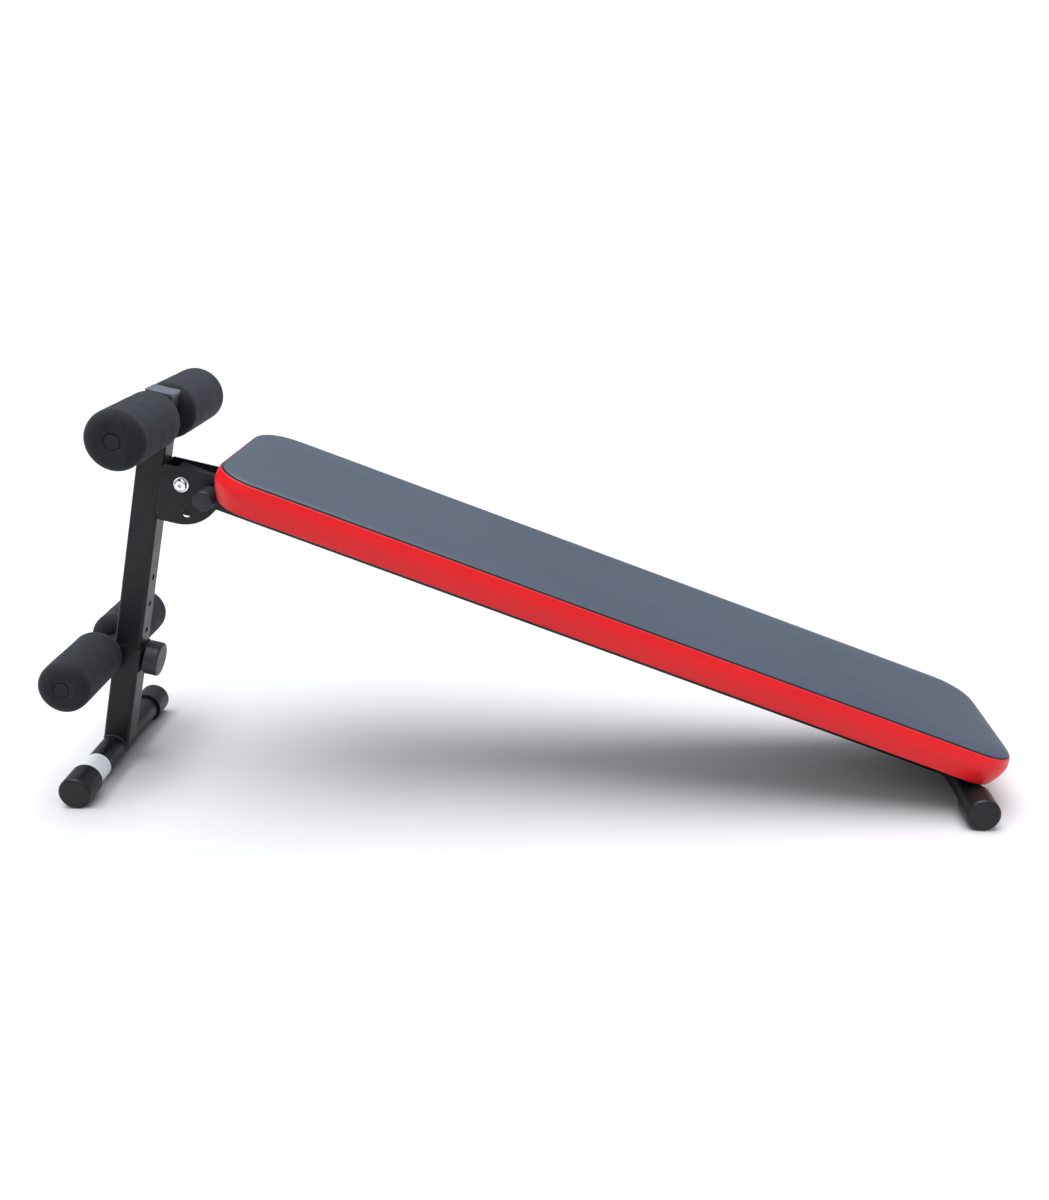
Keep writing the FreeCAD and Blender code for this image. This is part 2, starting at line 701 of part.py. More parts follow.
def hinge_bracket():
    body = new_body("hinge_bracket", upright_frame)
    outline = sketch_on(body, "XZ_Plane", "-" + BRACKET_OUTSIDE)
    bracket_outline(outline)
    pad(body, outline, "2 * " + BRACKET_OUTSIDE)

    def bend(edge):
        box = edge.BoundBox
        return (abs(box.XMax - value("upright_depth / 2")) < NEAR and box.XLength < NEAR
                and box.YLength < NEAR and abs(abs(box.YMax) - value(BRACKET_OUTSIDE)) < NEAR)

    round_edges(body, "bracket_bend", bend)
    inside = sketch_on(body, "YZ_Plane", "hinge_setback + bracket_radius + overshoot")
    rounded_rectangle(inside, "-bracket_gap / 2", "hinge_height - bracket_radius - bracket_cut",
                      "bracket_gap / 2", "bracket_top + bracket_cut", "bracket_bend - bracket_plate + 1")
    pocket(body, inside, "hinge_setback + bracket_radius + overshoot - upright_depth / 2 - bracket_plate")
    bolt_hole = sketch_on(body, "XZ_Plane", BRACKET_OUTSIDE + " + overshoot")
    circle(bolt_hole, "hinge_setback", "hinge_height", "bolt_radius")
    pocket(body, bolt_hole, "2 * %s + 2 * overshoot" % BRACKET_OUTSIDE)
    turn = "(%.6f)" % beam_angle
    across = sketch_on(body, "XZ_Plane", BRACKET_OUTSIDE + " + overshoot")
    circle(across, "hinge_setback + lock_radius * cos(%s)" % turn,
           "hinge_height - lock_radius * sin(%s)" % turn, "pin_radius + pin_fit")
    circle(across, "hinge_setback + lock_radius * cos(fold_angle + %s)" % turn,
           "hinge_height - lock_radius * sin(fold_angle + %s)" % turn, "lock_hole_radius")
    pocket(body, across, "2 * %s + 2 * overshoot" % BRACKET_OUTSIDE)


hinge_bracket()
hinge_frame = local(upright_frame, value("hinge_setback"), 0, value("hinge_height"))


def hexagon(sketch, radius):
    points = []
    for i in range(6):
        points.append(("(%s) * cos(%d)" % (radius, 60 * i), "(%s) * sin(%d)" % (radius, 60 * i)))
    polygon(sketch, points)


HEAD_SEAT = BRACKET_OUTSIDE + " + washer_thickness"
NUT_SEAT = "-(" + HEAD_SEAT + ")"


def pivot_bolt():
    body = new_body("pivot_bolt", hinge_frame)
    shank = sketch_on(body, "XZ_Plane", "%s - nut_height - bolt_tip" % NUT_SEAT)
    circle(shank, "0", "0", "bolt_radius")
    pad(body, shank, "2 * (%s) + nut_height + bolt_tip" % HEAD_SEAT)
    head = sketch_on(body, "XZ_Plane", HEAD_SEAT)
    circle(head, "0", "0", "bolt_head_radius")
    pad(body, head, "bolt_head")
    crown = -value(HEAD_SEAT) - value("bolt_head")
    round_edges(body, "bolt_head_rounding", ring_edge(value("bolt_head_radius"), crown))
    socket = sketch_on(body, "XZ_Plane", HEAD_SEAT + " + bolt_head")
    hexagon(socket, "bolt_socket")
    pocket(body, socket, "socket_depth")


def pivot_nut():
    body = new_body("pivot_nut", hinge_frame)
    sketch = sketch_on(body, "XZ_Plane", "%s - nut_height" % NUT_SEAT)
    hexagon(sketch, "nut_radius")
    circle(sketch, "0", "0", "bolt_radius")
    pad(body, sketch, "nut_height")


def washer(name, start):
    body = new_body(name, hinge_frame)
    sketch = sketch_on(body, "XZ_Plane", start)
    circle(sketch, "0", "0", "washer_radius")
    circle(sketch, "0", "0", "bolt_radius")
    pad(body, sketch, "washer_thickness")


pivot_bolt()
pivot_nut()
washer("bolt_washer", BRACKET_OUTSIDE)
washer("nut_washer", NUT_SEAT)
washer("hinge_spacer_left", "beam_width / 2 + spacer_fit")
washer("hinge_spacer_right", "-(beam_width / 2 + spacer_fit + washer_thickness)")


# ---- beam ----

def main_beam():
    body = new_body("main_beam", beam_frame)
    square_tube(body, "YZ_Plane", "beam_width", "beam_height",
                "-beam_start", "beam_reach + beam_start - upright_start")
    cope = sketch_on(body, "XZ_Plane", "beam_width / 2 + overshoot")
    circle(cope, "beam_reach", "0", "foot_tube_radius")
    pocket(body, cope, "beam_width + 2 * overshoot")
    across = sketch_on(body, "XZ_Plane", "beam_width / 2 + overshoot")
    circle(across, "0", "0", "sleeve_radius")
    circle(across, "lock_radius", "0", "hole_radius")
    pocket(body, across, "beam_width + 2 * overshoot")


def beam_end_plug():
    """Ends short of the hinge sleeve, so its insert is only the space that is left."""
    body = new_body("beam_end_plug", beam_frame)
    flange = sketch_on(body, "YZ_Plane", "-(beam_start + beam_end_cap)")
    tube_outline(flange, "beam_width", "beam_height", "0", "tube_corner")
    pad(body, flange, "beam_end_cap")
    insert = sketch_on(body, "YZ_Plane", "-beam_start")
    tube_outline(insert, "beam_width", "beam_height",
                 "tube_wall + plug_clearance", "tube_corner - tube_wall")
    pad(body, insert, "beam_start - sleeve_radius - plug_to_sleeve")


def hinge_sleeve():
    body = new_body("hinge_sleeve", beam_frame)
    sketch = sketch_on(body, "XZ_Plane", "-beam_width / 2")
    circle(sketch, "0", "0", "sleeve_radius")
    circle(sketch, "0", "0", "bolt_radius + bolt_fit")
    pad(body, sketch, "beam_width")


main_beam()
beam_end_plug()
hinge_sleeve()


# ---- pad ----

PLATE_TOP = "(beam_height / 2 + pad_plate)"
PLATE_CENTRES = [
    "(pad_start + pad_plate_inset)",
    "(pad_start + pad_length - pad_plate_inset)",
]


def screw_circles(sketch, centre, radius):
    for side in ("-", ""):
        circle(sketch, centre, side + "screw_spread", radius)


def pad_plate(name, centre):
    body = new_body(name, beam_frame)
    sketch = sketch_on(body, "XY_Plane", "beam_height / 2")
    rectangle(sketch, centre + " - pad_plate_width / 2", "-pad_plate_length / 2",
              centre + " + pad_plate_width / 2", "pad_plate_length / 2")
    screw_circles(sketch, centre, "screw_radius")
    pad(body, sketch, "pad_plate")


def pad_screws(name, centre):
    """The two screws of one cross plate."""
    body = new_body(name, beam_frame)
    body.AllowCompound = True
    heads = sketch_on(body, "XY_Plane", "beam_height / 2 - screw_head")
    screw_circles(heads, centre, "screw_head_radius")
    pad(body, heads, "screw_head")
    shanks = sketch_on(body, "XY_Plane", "beam_height / 2")
    screw_circles(shanks, centre, "screw_radius")
    pad(body, shanks, "pad_plate + board_thickness - screw_tip_gap")


def pad_board():
    body = new_body("pad_board", beam_frame)
    sketch = sketch_on(body, "XY_Plane", PLATE_TOP)
    board_outline(sketch)
    for centre in PLATE_CENTRES:
        screw_circles(sketch, centre, "screw_radius")
    pad(body, sketch, "board_thickness")


def board_outline(sketch):
    rounded_rectangle(sketch, "pad_start + board_inset", "-(pad_half_width - board_inset)",
                      "pad_start + pad_length - board_inset", "pad_half_width - board_inset",
                      "pad_corner - board_inset")


def pad_cushion():
    """Tapered slab, widest at the top, hollowed underneath for the board."""
    body = new_body("pad_cushion", beam_frame)
    lean = "(pad_thickness * tan(pad_taper))"
    slab = sketch_on(body, "XY_Plane", PLATE_TOP)
    rounded_rectangle(slab, "pad_start + " + lean, "-(pad_half_width - %s)" % lean,
                      "pad_start + pad_length - " + lean, "pad_half_width - " + lean,
                      "pad_corner - " + lean)
    pad(body, slab, "pad_thickness", "pad_taper")
    top = value(PLATE_TOP) + value("pad_thickness")
    round_edges(body, "pad_rounding", lambda e: e.BoundBox.ZMin > top - NEAR)
    hollow = sketch_on(body, "XY_Plane", PLATE_TOP + " + board_thickness")
    board_outline(hollow)
    pocket(body, hollow, "board_thickness + overshoot")


for end, centre in zip(("front", "rear"), PLATE_CENTRES):
    pad_plate("pad_plate_" + end, centre)
    pad_screws("pad_screws_" + end, centre)
pad_board()
pad_cushion()


# ---- check and write ----

doc.recompute()
for item in doc.Objects:
    if "Invalid" in item.State or "Error" in item.State:
        raise RuntimeError("failed object: %s %s" % (item.Label, item.State))

os.makedirs("parts", exist_ok=True)
whole = FreeCAD.BoundBox()
for part in parts:
    if part.Shape.isNull() or not part.Shape.isValid():
        raise RuntimeError("bad shape: " + part.Label)
    part.Shape.exportStep("parts/%s.step" % part.Label)
    whole.add(part.Shape.optimalBoundingBox(False, False))
    print("%-26s %10.0f mm3  %d solid(s)" % (part.Label, part.Shape.Volume, len(part.Shape.Solids)))

print("parts:", len(parts))
print("bounds: x %.2f %.2f  y %.2f %.2f  z %.2f %.2f" % (
    whole.XMin, whole.XMax, whole.YMin, whole.YMax, whole.ZMin, whole.ZMax))
print("hinge at (%.3f, %.3f), slope %.3f" % (hinge_point.x, hinge_point.z, slope))
print("rear foot at (%.3f, %.3f)" % (rear_foot_point.x, rear_foot_point.z))
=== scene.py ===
import json
import math
import random

import bmesh
import bpy
import numpy as np
from mathutils import Matrix, Vector


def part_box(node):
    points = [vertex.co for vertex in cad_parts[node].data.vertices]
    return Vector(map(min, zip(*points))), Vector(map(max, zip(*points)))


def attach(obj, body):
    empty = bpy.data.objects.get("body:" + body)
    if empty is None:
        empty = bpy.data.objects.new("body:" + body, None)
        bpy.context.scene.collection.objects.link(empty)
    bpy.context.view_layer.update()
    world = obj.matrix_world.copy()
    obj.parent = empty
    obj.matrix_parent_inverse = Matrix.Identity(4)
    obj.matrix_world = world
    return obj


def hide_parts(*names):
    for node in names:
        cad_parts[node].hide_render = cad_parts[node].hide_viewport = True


# Looks for the folding sit-up bench: the padded cover with its seam, the foam roller
# sleeves, weld beads, staples and every material. Lengths are in metres.

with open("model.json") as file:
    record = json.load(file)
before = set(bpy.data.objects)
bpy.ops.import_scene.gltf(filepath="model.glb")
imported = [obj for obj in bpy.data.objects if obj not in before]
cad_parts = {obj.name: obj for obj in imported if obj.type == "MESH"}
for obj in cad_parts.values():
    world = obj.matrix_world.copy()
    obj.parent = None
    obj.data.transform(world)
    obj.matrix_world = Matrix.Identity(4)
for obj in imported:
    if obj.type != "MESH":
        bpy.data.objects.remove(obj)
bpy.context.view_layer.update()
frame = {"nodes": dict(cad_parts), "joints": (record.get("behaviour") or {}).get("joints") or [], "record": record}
nodes = frame["nodes"]
joints = {joint["name"]: joint for joint in frame["joints"]}
scene = bpy.context.scene


# ---- working frames, as in the CAD part ----

def axes_frame(origin, x_axis, z_axis):
    """A matrix with its origin and x and z axes given in the row frame."""
    x = Vector(x_axis).normalized()
    z = Vector(z_axis).normalized()
    y = z.cross(x)
    matrix = Matrix((x, y, z)).transposed().to_4x4()
    matrix.translation = Vector(origin)
    return matrix


def box_centre(node):
    """Middle of a CAD node's box."""
    low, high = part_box(node)
    return (low + high) / 2


hinge = Vector(joints["fold"]["pos_m"])
upright_z = Vector(joints["carriage_slide"]["axis"]).normalized()
upright_x = Vector((upright_z.z, 0, -upright_z.x))
upper_axle = Vector(joints["upper_roller_left_spin"]["pos_m"])
lower_axle = Vector(joints["lower_roller_left_spin"]["pos_m"])
front_foot = box_centre("front_foot_tube")
rear_foot = box_centre("rear_foot_tube")
beam_x = (rear_foot - hinge).normalized()
beam_z = Vector((-beam_x.z, 0, beam_x.x))
beam_frame = axes_frame(hinge, beam_x, beam_z)
upright_frame = axes_frame(upper_axle, upright_x, upright_z)  # z = 0 at the upper axle


def extent(node, matrix):
    """Lowest and highest corner of a CAD node in a working frame."""
    inverse = matrix.inverted()
    points = np.array([inverse @ v.co for v in nodes[node].data.vertices])
    return points.min(0), points.max(0)


# ---- materials ----

def new_material(name, colour, roughness, metallic=0.0, specular=0.5):
    """A node material and its Principled shader."""
    material = bpy.data.materials.new(name)
    material.use_nodes = True
    shader = material.node_tree.nodes["Principled BSDF"]
    shader.inputs["Base Color"].default_value = (*colour, 1)
    shader.inputs["Roughness"].default_value = roughness
    shader.inputs["Metallic"].default_value = metallic
    shader.inputs["Specular IOR Level"].default_value = specular
    return material, shader


def add_node(material, kind, **settings):
    """A node with its sockets or properties set by name."""
    node = material.node_tree.nodes.new(kind)
    for key, setting in settings.items():
        if key in node.inputs:
            node.inputs[key].default_value = setting
        else:
            setattr(node, key, setting)
    return node


def join(material, source, target):
    material.node_tree.links.new(source, target)


def place(material, stretch=None):
    """Position on the object, so that a pattern has its real scale and stays put."""
    coordinates = add_node(material, "ShaderNodeTexCoord")
    if stretch is None:
        return coordinates.outputs["Object"]
    mapping = add_node(material, "ShaderNodeMapping")
    mapping.inputs["Scale"].default_value = stretch
    join(material, coordinates.outputs["Object"], mapping.inputs["Vector"])
    return mapping.outputs["Vector"]


def noise(material, scale, detail=3.0, stretch=None):
    """Fractal noise over the surface; scale is in cycles per metre."""
    node = add_node(material, "ShaderNodeTexNoise", Scale=scale, Detail=detail)
    join(material, place(material, stretch), node.inputs["Vector"])
    return node.outputs["Fac"]


def cells(material, scale, feature="F1"):
    """Small cells over the surface; scale is in cells per metre."""
    node = add_node(material, "ShaderNodeTexVoronoi", Scale=scale, feature=feature)
    join(material, place(material), node.inputs["Vector"])
    return node.outputs["Distance"]


def ramp(material, value, stops):
    """A colour ramp over a value; its two stops are (position, grey or colour)."""
    node = add_node(material, "ShaderNodeValToRGB")
    for point, (position, tone) in zip(node.color_ramp.elements, stops):
        point.position = position
        point.color = (*tone, 1) if isinstance(tone, tuple) else (tone, tone, tone, 1)
    join(material, value, node.inputs["Fac"])
    return node.outputs["Color"]


def bump(material, shader, heights):
    """Bumps in a chain; heights are (height output, strength, distance)."""
    last = None
    for height, strength, distance in heights:
        node = add_node(material, "ShaderNodeBump", Strength=strength, Distance=distance)
        join(material, height, node.inputs["Height"])
        if last is not None:
            join(material, last, node.inputs["Normal"])
        last = node.outputs["Normal"]
    join(material, last, shader.inputs["Normal"])


def vary(material, shader, colours, roughness, scale, stretch=None):
    """Slow drift of colour and roughness over the surface."""
    drift = noise(material, scale, 4.0, stretch)
    low, high = colours
    join(material, ramp(material, drift, [(0.3, low), (0.7, high)]), shader.inputs["Base Color"])
    low, high = roughness
    join(material, ramp(material, drift, [(0.25, high), (0.75, low)]), shader.inputs["Roughness"])


def powder_coat():
    """Satin black paint with a fine orange peel."""
    material, shader = new_material("powder_coat", (0.009, 0.009, 0.011), 0.4, specular=0.32)
    vary(material, shader, ((0.0070, 0.0070, 0.0088), (0.0100, 0.0100, 0.0122)), (0.34, 0.44), 35)
    peel = noise(material, 520, 2.0)
    dust = noise(material, 1900, 2.0)
    bump(material, shader, [(peel, 0.22, 0.0004), (dust, 0.08, 0.0001)])
    return material


def weld():
    """The same paint over a rough weld bead."""
    material, shader = new_material("weld_coat", (0.012, 0.012, 0.014), 0.42, specular=0.45)
    vary(material, shader, ((0.010, 0.010, 0.012), (0.016, 0.016, 0.018)), (0.36, 0.5), 300)
    bump(material, shader, [(noise(material, 700, 3.0), 0.3, 0.0005)])
    return material


def moulded_plastic(name, tone, roughness, grain):
    """Black plastic with the fine grain of its mould."""
    low = tuple(0.85 * c for c in tone)
    high = tuple(1.2 * c for c in tone)
    material, shader = new_material(name, tone, roughness, specular=0.34)
    vary(material, shader, (low, high), (roughness - 0.05, roughness + 0.06), 60)
    bump(material, shader, [(cells(material, grain), 0.12, 0.00015),
                            (noise(material, 90, 3.0), 0.05, 0.0006)])
    return material


def foam_rubber():
    """Matte closed-cell foam with open cells on its skin and a weak sheen."""
    material, shader = new_material("closed_cell_foam", (0.012, 0.012, 0.013), 0.8, specular=0.25)
    shader.inputs["Sheen Weight"].default_value = 0.09
    shader.inputs["Sheen Roughness"].default_value = 0.5
    shader.inputs["Sheen Tint"].default_value = (0.75, 0.82, 1.0, 1)
    vary(material, shader, ((0.0095, 0.0095, 0.0105), (0.0135, 0.0135, 0.0150)), (0.74, 0.86), 260)
    bump(material, shader, [(cells(material, 1100), 0.35, 0.0004),
                            (noise(material, 420, 3.0), 0.18, 0.0005)])
    return material


def vinyl(name, low, high, roughness, specular, streak):
    """Synthetic leather: fine pebble grain, a softer wrinkle and slow streaks along the pad."""
    material, shader = new_material(name, low, roughness, specular=specular)
    vary(material, shader, (low, high), (roughness - 0.04, roughness + 0.05), 9, streak)
    pebbles = cells(material, 950)
    creases = cells(material, 420, "DISTANCE_TO_EDGE")
    bump(material, shader, [(noise(material, 22, 4.0, streak), 0.10, 0.003),
                            (creases, 0.10, 0.0003), (pebbles, 0.22, 0.00025)])
    return material


def backing_cloth():
    """Thin woven cloth on the underside of the board."""
    material, shader = new_material("backing_cloth", (0.014, 0.014, 0.015), 0.85, specular=0.25)
    threads = []
    for direction in "XY":
        wave = add_node(material, "ShaderNodeTexWave", Scale=420.0, Distortion=0.4,
                        bands_direction=direction)
        join(material, place(material), wave.inputs["Vector"])
        threads.append((wave.outputs["Fac"], 0.2, 0.0003))
    vary(material, shader, ((0.010, 0.010, 0.011), (0.022, 0.022, 0.023)), (0.8, 0.92), 120)
    bump(material, shader, threads)
    return material


def plated(name, low, high, roughness):
    """Plated metal with faint scratches along z."""
    material, shader = new_material(name, low, roughness, metallic=1.0)
    vary(material, shader, (low, high), (roughness * 0.8, roughness * 1.3), 200)
    bump(material, shader, [(noise(material, 900, 2.0, (1, 1, 0.3)), 0.08, 0.0001)])
    return material


def sticker():
    """Blank white film, slightly wrinkled."""
    material, shader = new_material("blank_label", (0.80, 0.85, 0.85), 0.38)
    vary(material, shader, ((0.86, 0.90, 0.90), (0.93, 0.95, 0.95)), (0.32, 0.45), 50)
    bump(material, shader, [(noise(material, 130, 3.0), 0.12, 0.0005)])
    return material


def pale_floor():
    """Plain matte floor."""
    material, shader = new_material("pale_floor", (0.62, 0.60, 0.585), 0.9, specular=0.1)
    vary(material, shader, ((0.61, 0.59, 0.575), (0.63, 0.61, 0.595)), (0.88, 0.95), 2)
    return material


POWDER = powder_coat()
WELD = weld()
CAP_PLASTIC = moulded_plastic("cap_plastic", (0.0080, 0.0080, 0.0092), 0.42, 1300)
KNOB_PLASTIC = moulded_plastic("knob_plastic", (0.024, 0.024, 0.031), 0.42, 1500)
NYLON = moulded_plastic("nylon", (0.02, 0.02, 0.021), 0.4, 900)
# the upright's top cap is the same black plastic, lightened to a slate blue: painted sky light on its upward face
TOP_CAP_PAINTED_SKY = moulded_plastic("top_cap_painted_sky", (0.085, 0.098, 0.122), 0.3, 900)
PLUG_PLASTIC = moulded_plastic("plug_plastic", (0.007, 0.007, 0.008), 0.6, 900)
FOAM = foam_rubber()
STREAKS = (0.25, 1, 1)  # stretches a pattern along the pad
# the top panel is black vinyl; its base colour is raised to a slate blue, a painted reflection of the overhead sky
TOP_VINYL_PAINTED_SKY = vinyl("sky_painted_black_vinyl", (0.039, 0.052, 0.074), (0.047, 0.062, 0.087),
                  0.42, 0.5, STREAKS)
RED_VINYL = vinyl("red_vinyl", (0.70, 0.009, 0.013), (0.78, 0.012, 0.016),
                  0.38, 0.26, STREAKS)
BLACK_VINYL = vinyl("black_vinyl", (0.010, 0.009, 0.010), (0.014, 0.012, 0.013),
                    0.5, 0.4, STREAKS)
CLOTH = backing_cloth()
CHROME = plated("chrome_plate", (0.78, 0.79, 0.80), (0.86, 0.87, 0.88), 0.16)
ZINC = plated("zinc_plate", (0.50, 0.51, 0.52), (0.64, 0.65, 0.66), 0.34)
LABEL = sticker()

NODE_MATERIALS = {
    "frame_paint": POWDER,
    "cap_plastic": CAP_PLASTIC,
    "knob_plastic": KNOB_PLASTIC,
    "roller_foam": FOAM,
    "pad_vinyl": TOP_VINYL_PAINTED_SKY,
    "board": CLOTH,
    "nylon": NYLON,
    "chrome": CHROME,
    "zinc_steel": ZINC,
    "label": LABEL,
}
for part in frame["record"]["subparts"]:
    mesh = nodes[part["node"]].data
    mesh.materials.clear()
    mesh.materials.append(NODE_MATERIALS[part["material_slot"]])
# the top cap takes the lighter tone with painted sky light
nodes["upright_top_cap"].data.materials[0] = TOP_CAP_PAINTED_SKY
for name in ("upper_axle_plug_left", "upper_axle_plug_right",
             "lower_axle_plug_left", "lower_axle_plug_right"):
    nodes[name].data.materials[0] = PLUG_PLASTIC


# ---- mesh helpers ----

def make_object(name, points, faces, materials, body, tags=None):
    """A smooth mesh object from points in the row frame that rides on a CAD body."""
    mesh = bpy.data.meshes.new(name)
    mesh.from_pydata([tuple(p) for p in points], [], faces)
    for material in materials:
        mesh.materials.append(material)
    if tags is not None:
        mesh.polygons.foreach_set("material_index", tags)
    mesh.polygons.foreach_set("use_smooth", [True] * len(mesh.polygons))
    mesh.update()
    made = bpy.data.objects.new(name, mesh)
    scene.collection.objects.link(made)
    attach(made, body)
    return made


def soften(piece):
    """One level of subdivision."""
    smooth = piece.modifiers.new("smooth", "SUBSURF")
    smooth.levels = smooth.render_levels = 1


def strip_faces(rows, columns, closed):
    """Quads between rows of points, each row a ring when closed."""
    faces = []
    for r in range(rows - 1):
        for c in range(columns if closed else columns - 1):
            d = (c + 1) % columns
            faces.append((r * columns + c, r * columns + d,
                          (r + 1) * columns + d, (r + 1) * columns + c))
    return faces


def closing_faces(rows, columns):
    """Quads from the last ring of points back to the first."""
    last = (rows - 1) * columns
    return [(last + c, last + (c + 1) % columns, (c + 1) % columns, c) for c in range(columns)]


def tube_mesh(path, radius, sides, closed=False, ripple=None):
    """Points and faces of a round bead along a path; ripple holds its relative radii."""
    count = len(path)
    points = []
    side_axis = None
    for i, p in enumerate(path):
        ahead = path[(i + 1) % count] if closed or i < count - 1 else path[i]
        behind = path[i - 1] if closed or i > 0 else path[i]
        along = (ahead - behind).normalized()
        if side_axis is None:
            side_axis = along.orthogonal().normalized()
        side_axis = (side_axis - along * side_axis.dot(along)).normalized()
        other = along.cross(side_axis)
        size = radius * (ripple[i] if ripple else 1.0)
        for s in range(sides):
            angle = 2 * math.pi * s / sides
            points.append(p + size * (math.cos(angle) * side_axis + math.sin(angle) * other))
    faces = strip_faces(count, sides, True)
    if closed:
        faces += closing_faces(count, sides)
    else:
        faces.append(tuple(range(sides - 1, -1, -1)))
        faces.append(tuple(range((count - 1) * sides, count * sides)))
    return points, faces


def merge(pieces):
    """Several (points, faces) as one."""
    points, faces = [], []
    for new_points, new_faces in pieces:
        start = len(points)
        points.extend(new_points)
        faces.extend(tuple(start + i for i in face) for face in new_faces)
    return points, faces


# ---- padded cover ----

pad_low, pad_high = extent("pad_cushion", beam_frame)
board_high = extent("pad_board", beam_frame)[1]
PAD_START, PAD_END = pad_low[0], pad_high[0]
PAD_HALF = pad_high[1]
PAD_TOP, PAD_FOOT = pad_high[2], pad_low[2]
CORNER = 0.055                  # radius of the pad's corners, seen from above
SHARPEST_CORNER = 0.002
FRONT_PROUD = 0.0025            # how far the padding swells past the slab's front end
GRID_LONG, GRID_WIDE = 150, 34  # cells of the top panel
RING = 2 * (GRID_LONG + GRID_WIDE)

# Side profile of the cover before it is inflated: (inset from the CAD outline, height below
# the top). The seam is the first row.
SIDE_PROFILE = [
    (0.0020, 0.0022), (-0.0014, 0.0085), (-0.0028, 0.0125), (-0.0036, 0.0170), (-0.0036, 0.0215),
    (-0.0028, 0.0262), (-0.0013, 0.0310), (0.0006, 0.0358), (0.0026, 0.0403), (0.0044, 0.0443),
    (0.0059, 0.0474), (0.0072, 0.0494), (0.0096, 0.0503),
]
SEAM_INSET, SEAM_DROP = SIDE_PROFILE[0]
# Steps of the seam outward and down from the top panel's edge
SEAM_STEPS = [(0.0001, -0.0006), (0.0002, -0.0012), (0.0003, -0.0021), (0.0009, -0.0026),
              (0.0016, -0.0024), (0.0024, -0.0026), (0.0029, -0.0034), (0.0032, -0.0046)]
GROOVE_STEPS = (1, 4)           # the dark thread line lies between these steps
PANEL, BAND, BLACK_EDGE = 0, 1, 2     # material indices: top panel, red band, black edge

EDGE_ROLL, EDGE_REACH = 0.0032, 0.0062    # height and reach of the roll along the panel's edge
CROWN_RISE, CROWN_REACH = 0.0006, 0.040   # the same for the slow crown of the whole panel

PUFF_TOP, PUFF_SIDE = 0.0024, 0.0016      # most that a point of the cover may swell
PUFF_FRAMES = 20
PUFF_FLOOR_INSET, PUFF_FLOOR_RISE = 0.016, 0.001  # the floor of the inflated form

BACK_DROP = 0.0009              # the wrapped vinyl lies this far under the board
BACK_EDGE = 0.0262              # inset of the wrap's cut edge
# The wrap from the band's foot to its cut edge: (inset, height above its lowest point)
WRAP_PROFILE = ((0.0120, 0.0), (0.0180, 0.0), (BACK_EDGE, 0.0001), (BACK_EDGE + 0.0006, 0.0004))
HIDDEN_INSET = 0.003            # of the closing patch over the board's top
BOARD_GAP = 0.0003              # between the wrap and the board's edge
BOARD_COVER = 0.0002            # between the board's top and the cover's inside


def side_run(start, direction, straight, radius, count):
    """Half an arc, a straight run and half an arc, as (x, y) points that turn left."""
    eighth = math.pi / 4
    arc = CORNER * eighth  # the arcs take their share of points at the CAD outline's radius
    total = straight + 2 * arc
    run = []
    for i in range(count):
        s = total * i / count
        if s < arc:
            a = -eighth + eighth * s / arc
            along, across = radius * math.sin(a), radius * (1 - math.cos(a))
        elif s <= arc + straight:
            along, across = s - arc, 0.0
        else:
            a = eighth * (s - arc - straight) / arc
            along, across = straight + radius * math.sin(a), radius * (1 - math.cos(a))
        run.append((start[0] + direction[0] * along - direction[1] * across,
                    start[1] + direction[1] * along + direction[0] * across))
    return run


def outline(inset):
    """Ring of (x, y) points around the pad, counterclockwise from the middle of a corner's
    arc. The points keep their order at any inset."""
    radius = max(CORNER - inset, SHARPEST_CORNER)
    x0, x1 = PAD_START - FRONT_PROUD + inset, PAD_END - inset
    half = PAD_HALF - inset
    long_run = (x1 - x0) - 2 * radius
    wide_run = 2 * half - 2 * radius
    ring = side_run((x0 + radius, -half), (1, 0), long_run, radius, GRID_LONG)
    ring += side_run((x1, -half + radius), (0, 1), wide_run, radius, GRID_WIDE)
    ring += side_run((x1 - radius, half), (-1, 0), long_run, radius, GRID_LONG)
    ring += side_run((x0, half - radius), (0, -1), wide_run, radius, GRID_WIDE)
    return np.array(ring)


def flat_ring(inset, z):
    """An outline as (x, y, z) points at one height."""
    return np.column_stack([outline(inset), np.full(RING, z)])


def patch(inset):
    """Grid of (x, y) points inside an outline: a smooth patch between its four sides."""
    ring = outline(inset)
    first, second = GRID_LONG, GRID_LONG + GRID_WIDE
    third = second + GRID_LONG
    south = ring[:first + 1]
    east = ring[first:second + 1]
    north = ring[second:third + 1][::-1]
    west = np.vstack([ring[third:], ring[:1]])[::-1]
    u = np.linspace(0, 1, GRID_LONG + 1)[None, :, None]
    v = np.linspace(0, 1, GRID_WIDE + 1)[:, None, None]
    grid = ((1 - v) * south[None] + v * north[None]
            + (1 - u) * west[:, None] + u * east[:, None]
            - (1 - u) * (1 - v) * south[0] - u * (1 - v) * south[-1]
            - (1 - u) * v * north[0] - u * v * north[-1])
    return grid.reshape(-1, 2)


def flat_patch(inset, z):
    """A patch as (x, y, z) points at one height."""
    grid = patch(inset)
    return np.column_stack([grid, np.full(len(grid), z)])


def patch_border():
    """Indices of a patch's border points in the order of its outline."""
    wide = GRID_LONG + 1
    border = list(range(GRID_LONG))
    border += [j * wide + GRID_LONG for j in range(GRID_WIDE)]
    border += [GRID_WIDE * wide + i for i in range(GRID_LONG, 0, -1)]
    border += [j * wide for j in range(GRID_WIDE, 0, -1)]
    return border


BORDER = patch_border()
PATCH_FACES = strip_faces(GRID_WIDE + 1, GRID_LONG + 1, False)


def ring_faces(upper, lower):
    """Quads between two rings of point indices."""
    return [(upper[(i + 1) % RING], upper[i], lower[i], lower[(i + 1) % RING])
            for i in range(RING)]


def ring_indices(start, row):
    """Point indices of one of the rings that follow point start."""
    return [start + row * RING + i for i in range(RING)]


def flipped(faces, start):
    """Faces turned over, with start added to their indices."""
    return [tuple(start + i for i in reversed(face)) for face in faces]


